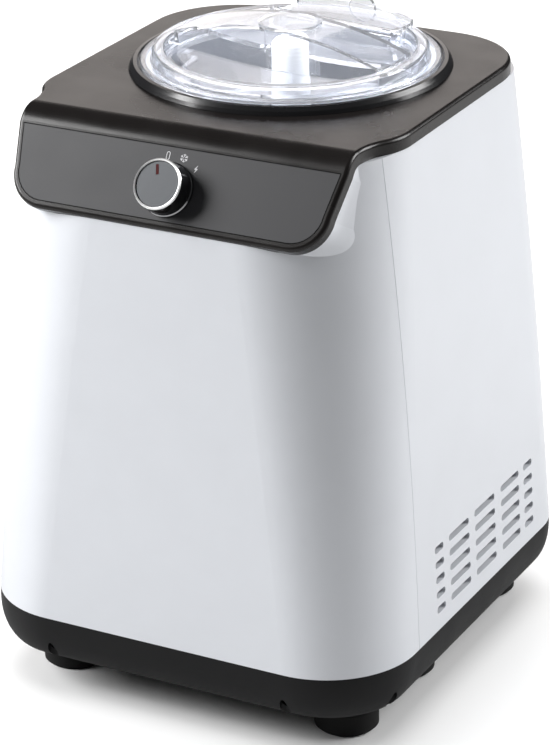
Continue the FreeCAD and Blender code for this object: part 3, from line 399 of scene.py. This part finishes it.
def bowl_materials():
    """Bowl, well, lid and paddle. The steel and the silicone are used elsewhere too."""
    low_corner, high_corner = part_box("bowl")
    middle = (Vector(low_corner) + Vector(high_corner)) / 2
    return {
        "steel": surface(
            "steel", (0.62, 0.62, 0.64), 0.25, metal=1.0, grain_size=0.6 * MM, stretch=DRAWN_LEVEL
        ),
        "clear_lid": clear_plastic("clear_lid"),
        "silicone": surface(
            "silicone", (0.75, 0.76, 0.78), 0.5, drift=0.05, grain=0.02 * MM, grain_size=1 * MM
        ),
        "bowl_alloy": spun_metal(
            "bowl_alloy", (0.44, 0.45, 0.47), 0.36, middle, pitch=1.2 * MM, depth=0.006 * MM
        ),
        "paddle_white": surface("paddle_white", (0.8, 0.81, 0.82), 0.35, drift=0.02, grain=0.015 * MM),
    }


def drive_materials():
    """Motors, gearbox and gears."""
    return {
        "gear_nylon": surface(
            "gear_nylon", (0.72, 0.70, 0.64), 0.45, drift=0.05, grain=0.03 * MM, grain_size=2 * MM
        ),
        "brass": surface("brass", (0.66, 0.48, 0.22), 0.3, metal=1.0, drift=0.08, drift_size=5 * MM),
        "gearbox_grey": surface("gearbox_grey", (0.35, 0.36, 0.37), 0.45, drift=0.06, grain=0.04 * MM),
        "motor_steel": surface(
            "motor_steel", (0.5, 0.5, 0.51), 0.35, metal=1.0, grain_size=0.8 * MM, stretch=DRAWN_UPRIGHT
        ),
    }


def inside_materials():
    """Cooling circuit, insulation and board, and dark plastic for the small pieces inside."""
    return {
        "inner_black": surface("inner_black", (0.03, 0.03, 0.03), 0.5, drift=0.08, grain=0.02 * MM),
        "compressor_black": surface(
            "compressor_black",
            (0.02, 0.02, 0.02),
            0.3,
            coat=0.4,
            drift=0.1,
            grain=0.06 * MM,
            grain_size=2.5 * MM,
        ),
        "copper": surface("copper", (0.72, 0.33, 0.2), 0.25, metal=1.0, drift=0.15, drift_size=12 * MM),
        "fin_aluminium": surface(
            "fin_aluminium",
            (0.75, 0.76, 0.77),
            0.35,
            metal=1.0,
            grain=0.03 * MM,
            grain_size=1.2 * MM,
            stretch=DRAWN_LEVEL,
        ),
        "foam_cream": foam("foam_cream", (0.72, 0.64, 0.45)),
        "board_green": circuit_board("board_green", (0.02, 0.12, 0.045)),
    }


def dress():
    """Gives each CAD node the material of its slot."""
    materials = {
        **casing_materials(),
        **knob_materials(),
        **bowl_materials(),
        **drive_materials(),
        **inside_materials(),
    }
    slots = {part["node"]: part["material_slot"] for part in frame["record"]["subparts"]}
    for name, node in nodes.items():
        node.data.materials.clear()
        node.data.materials.append(materials[slots[name]])


# ---------------------------------------------------------------- flat pieces on the panel

PRINT_LIFT = 0.01 * MM
PRINT_THICK = 0.03 * MM
QUARTER_STEPS = 8
MITRE_LIMIT = 0.3  # stops the mitre of a sharp corner from reaching far out

STROKE = 0.36 * MM
PRINT_RADIUS = 17.8 * MM  # of the symbols' middles, from the knob's axis
STEP_ANGLES = {"off": 15, "cooling": -15, "stirring": -45}  # to the left of straight up, degrees
ZERO_HALF_WIDTH = 0.85 * MM
ZERO_HALF_HEIGHT = 2.05 * MM
FLAKE_REACH = 2.1 * MM
FLAKE_ARMS = 6
FLAKE_HOLLOW = 0.3  # shares of the flake's reach
BARB_ROOT = 0.62
BARB_START = 0.12
BARB_STOP = 0.36
BARB_LEAN = math.tau / 7
BOLT_REACH = 2.2 * MM

INSERT_TOP = 22.1 * MM  # edges of the panel insert, from the knob's axis
INSERT_LOW = -16.3 * MM
INSERT_HALF_TOP = 91.1 * MM
INSERT_HALF_LOW = 87.5 * MM
INSERT_CORNER = 16.6 * MM
# width of the black strip of painted shadow along the gap round the insert
GAP_SHADOW_WIDTH = 0.5 * MM


def ray(angle):
    """Unit vector at that angle, in radians, to the left from X."""
    return Vector((math.cos(angle), math.sin(angle)))


def lay_plate(shape, outline):
    """Adds a flat plate with that outline."""
    low = [shape.verts.new((x, y, PRINT_LIFT)) for x, y in outline]
    high = [shape.verts.new((x, y, PRINT_LIFT + PRINT_THICK)) for x, y in outline]
    shape.faces.new(high)
    shape.faces.new(list(reversed(low)))
    for index in range(len(outline)):
        after = (index + 1) % len(outline)
        shape.faces.new([low[index], low[after], high[after], high[index]])


def lay_stroke(shape, start, end):
    """Adds a straight stroke with pointed ends."""
    along = (end - start).normalized() * STROKE / 2
    aside = Vector((-along.y, along.x))
    outline = [start - along, start - aside, end - aside, end + along, end + aside, start + aside]
    lay_plate(shape, outline)


def lay_outline(shape, points, width):
    """Adds a flat strip of that width along a closed outline."""
    count = len(points)
    sides = []
    for index, point in enumerate(points):
        before = (point - points[index - 1]).normalized()
        after = (points[(index + 1) % count] - point).normalized()
        mitre = Vector((-before.y - after.y, before.x + after.x)).normalized()
        reach = width / 2 / max(MITRE_LIMIT, mitre.dot(Vector((-after.y, after.x))))
        sides.append((point - mitre * reach, point + mitre * reach))
    for (first_in, first_out), (second_in, second_out) in zip(sides, sides[1:] + sides[:1]):
        lay_plate(shape, [first_in, second_in, second_out, first_out])


def quarter(centre, radius, start):
    """Points along a quarter circle that starts at that angle, in degrees, and turns to the left."""
    angles = [math.radians(start + 90 * step / QUARTER_STEPS) for step in range(QUARTER_STEPS + 1)]
    return [centre + ray(angle) * radius for angle in angles]


def lay_zero(shape, centre):
    """Adds an upright outline with straight sides and round ends."""
    rise = Vector((0, ZERO_HALF_HEIGHT - ZERO_HALF_WIDTH))
    points = quarter(centre + rise, ZERO_HALF_WIDTH, 0)
    points += quarter(centre + rise, ZERO_HALF_WIDTH, 90)[1:]
    points += quarter(centre - rise, ZERO_HALF_WIDTH, 180)
    points += quarter(centre - rise, ZERO_HALF_WIDTH, 270)[1:]
    lay_outline(shape, points, STROKE)


def lay_flake(shape, centre):
    """Adds a snowflake: arms that stop short of the middle, each with a pair of barbs."""
    for arm in range(FLAKE_ARMS):
        angle = math.tau * (arm + 0.5) / FLAKE_ARMS
        along = ray(angle) * FLAKE_REACH
        lay_stroke(shape, centre + along * FLAKE_HOLLOW, centre + along)
        for side in (-1, 1):
            barb = ray(angle + side * BARB_LEAN) * FLAKE_REACH
            root = centre + along * BARB_ROOT
            lay_stroke(shape, root + barb * BARB_START, root + barb * BARB_STOP)


def lay_bolt(shape, centre):
    """Adds a zigzag bolt, the same upside down."""
    half = [Vector((0.35, 1.0)), Vector((-0.5, -0.1)), Vector((-0.05, -0.1))]
    corners = half + [-corner for corner in half]
    lay_plate(shape, [centre + corner * BOLT_REACH for corner in corners])


def make_print(name, shape, material):
    """A flat piece on the panel, from what was laid in the dial's frame."""
    bmesh.ops.recalc_face_normals(shape, faces=shape.faces)
    mesh = bpy.data.meshes.new(name)
    shape.to_mesh(mesh)
    shape.free()
    mesh.materials.append(material)
    piece = bpy.data.objects.new(name, mesh)
    bpy.context.scene.collection.objects.link(piece)
    piece.matrix_world = dial_place()
    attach(piece, "housing")


def print_dial():
    """The symbols round the dial, one for each step of the knob."""
    shape = bmesh.new()
    lay_symbol = {"off": lay_zero, "cooling": lay_flake, "stirring": lay_bolt}
    for step, degrees in STEP_ANGLES.items():
        lay_symbol[step](shape, ray(math.radians(90 + degrees)) * PRINT_RADIUS)
    grey = surface("print_grey", (0.62, 0.62, 0.64), 0.55, drift=0.06, drift_size=3 * MM)
    make_print("dial_symbols", shape, grey)


def paint_gap_shadow():
    """A dark strip of painted shadow along the thin gap round the panel insert."""
    corner_x = INSERT_HALF_LOW - INSERT_CORNER
    corner_y = INSERT_LOW + INSERT_CORNER
    points = [Vector((-INSERT_HALF_TOP, INSERT_TOP))]
    points += quarter(Vector((-corner_x, corner_y)), INSERT_CORNER, 180)
    points += quarter(Vector((corner_x, corner_y)), INSERT_CORNER, 270)
    points.append(Vector((INSERT_HALF_TOP, INSERT_TOP)))
    shape = bmesh.new()
    lay_outline(shape, points, GAP_SHADOW_WIDTH)
    # Painted shadow: a near-black matte strip stands in for the shade in the thin gap.
    shadow = surface("gap_shadow", (0.004, 0.004, 0.004), 0.9, drift=0.1, specular=0.1)
    make_print("insert_gap_shadow", shape, shadow)


# ---------------------------------------------------------------- studio

FLOOR_REACH = 3.0  # from its middle to each side
FLOOR_PATCH = 0.4
LIGHT_AIM = Vector((0, 0, 0.15))
OVERHEAD = (0.0, 0.2, 2.6)
WALL_COLOUR = (0.95, 0.97, 1.0)
WALL_GLOW = 0.045  # what the walls give the object, where the camera itself sees them at 1
WALL_GLOW_THROUGH_LID = 0.3  # more of it where clear plastic shows them


def floor_paint():
    """White paper. It throws back less light on the object than it shows, so that edges stay crisp."""
    made = Nodes("floor_white")
    shader = made.shader
    path = made.add("ShaderNodeLightPath")
    patches = made.noise(FLOOR_PATCH)
    choose = made.add("ShaderNodeMix", data_type="RGBA")
    made.join(path.outputs["Is Camera Ray"], choose.inputs["Factor"])
    made.join(made.tint(patches, (0.44, 0.44, 0.44), (0.46, 0.46, 0.46)), choose.inputs["A"])
    made.join(made.tint(patches, (0.89, 0.89, 0.89), (0.91, 0.91, 0.91)), choose.inputs["B"])
    made.join(choose.outputs["Result"], shader.inputs["Base Color"])
    shader.inputs["Roughness"].default_value = 0.5
    shader.inputs["Specular IOR Level"].default_value = 0.3
    return made.material


def make_floor():
    """A wide pale floor."""
    shape = bmesh.new()
    corners = [(-1, -1), (1, -1), (1, 1), (-1, 1)]
    shape.faces.new([shape.verts.new((x * FLOOR_REACH, y * FLOOR_REACH, 0)) for x, y in corners])
    mesh = bpy.data.meshes.new("floor")
    shape.to_mesh(mesh)
    shape.free()
    floor = bpy.data.objects.new("floor", mesh)
    bpy.context.scene.collection.objects.link(floor)
    mesh.materials.append(floor_paint())
    return floor


def make_light(name, place, size, power, colour=(1, 1, 1), mirrored=True, only=None):
    """A square soft light at place that faces the object. Unless mirrored, no gloss shows it.

    Given a collection as only, it lights nothing but what is in there.
    """
    data = bpy.data.lights.new(name, "AREA")
    data.size = size
    data.energy = power
    data.color = colour
    light = bpy.data.objects.new(name, data)
    bpy.context.scene.collection.objects.link(light)
    light.location = place
    light.rotation_euler = (LIGHT_AIM - Vector(place)).to_track_quat("-Z", "Y").to_euler()
    light.visible_glossy = mirrored
    light.light_linking.receiver_collection = only


def make_walls():
    """Pale walls all round, which the camera sees brighter than they light the object."""
    world = bpy.data.worlds.new("studio")
    bpy.context.scene.world = world
    world.use_nodes = True
    made = Tree(world.node_tree)
    background = made.tree.nodes["Background"]
    background.inputs["Color"].default_value = (*WALL_COLOUR, 1)
    path = made.add("ShaderNodeLightPath")
    seen_through = path.outputs["Is Transmission Ray"]
    glow = made.calculate("MULTIPLY_ADD", seen_through, WALL_GLOW_THROUGH_LID, WALL_GLOW)
    strength = made.calculate("MAXIMUM", path.outputs["Is Camera Ray"], glow)
    made.join(strength, background.inputs["Strength"])


def make_studio(floor):
    """Soft boxes to the left, the right and the rear, two floods from above, and the walls."""
    make_walls()
    floor_only = bpy.data.collections.new("floor_only")
    floor_only.objects.link(floor)
    make_light("left_box", (-1.7, -1.05, 1.45), size=1.2, power=80)
    make_light("right_box", (1.5, 1.2, 1.25), size=1.2, power=50)
    make_light("rear_box", (-1.3, 2.4, 0.8), size=1.6, power=10, colour=(1.0, 0.93, 0.89))
    make_light("top_fill", OVERHEAD, size=2.0, power=10, mirrored=False)
    make_light("floor_flood", OVERHEAD, size=2.4, power=72, mirrored=False, only=floor_only)


scene = bpy.context.scene
scene.view_settings.view_transform = "Standard"
make_camera()
make_studio(make_floor())
dress()
print_dial()
paint_gap_shadow()
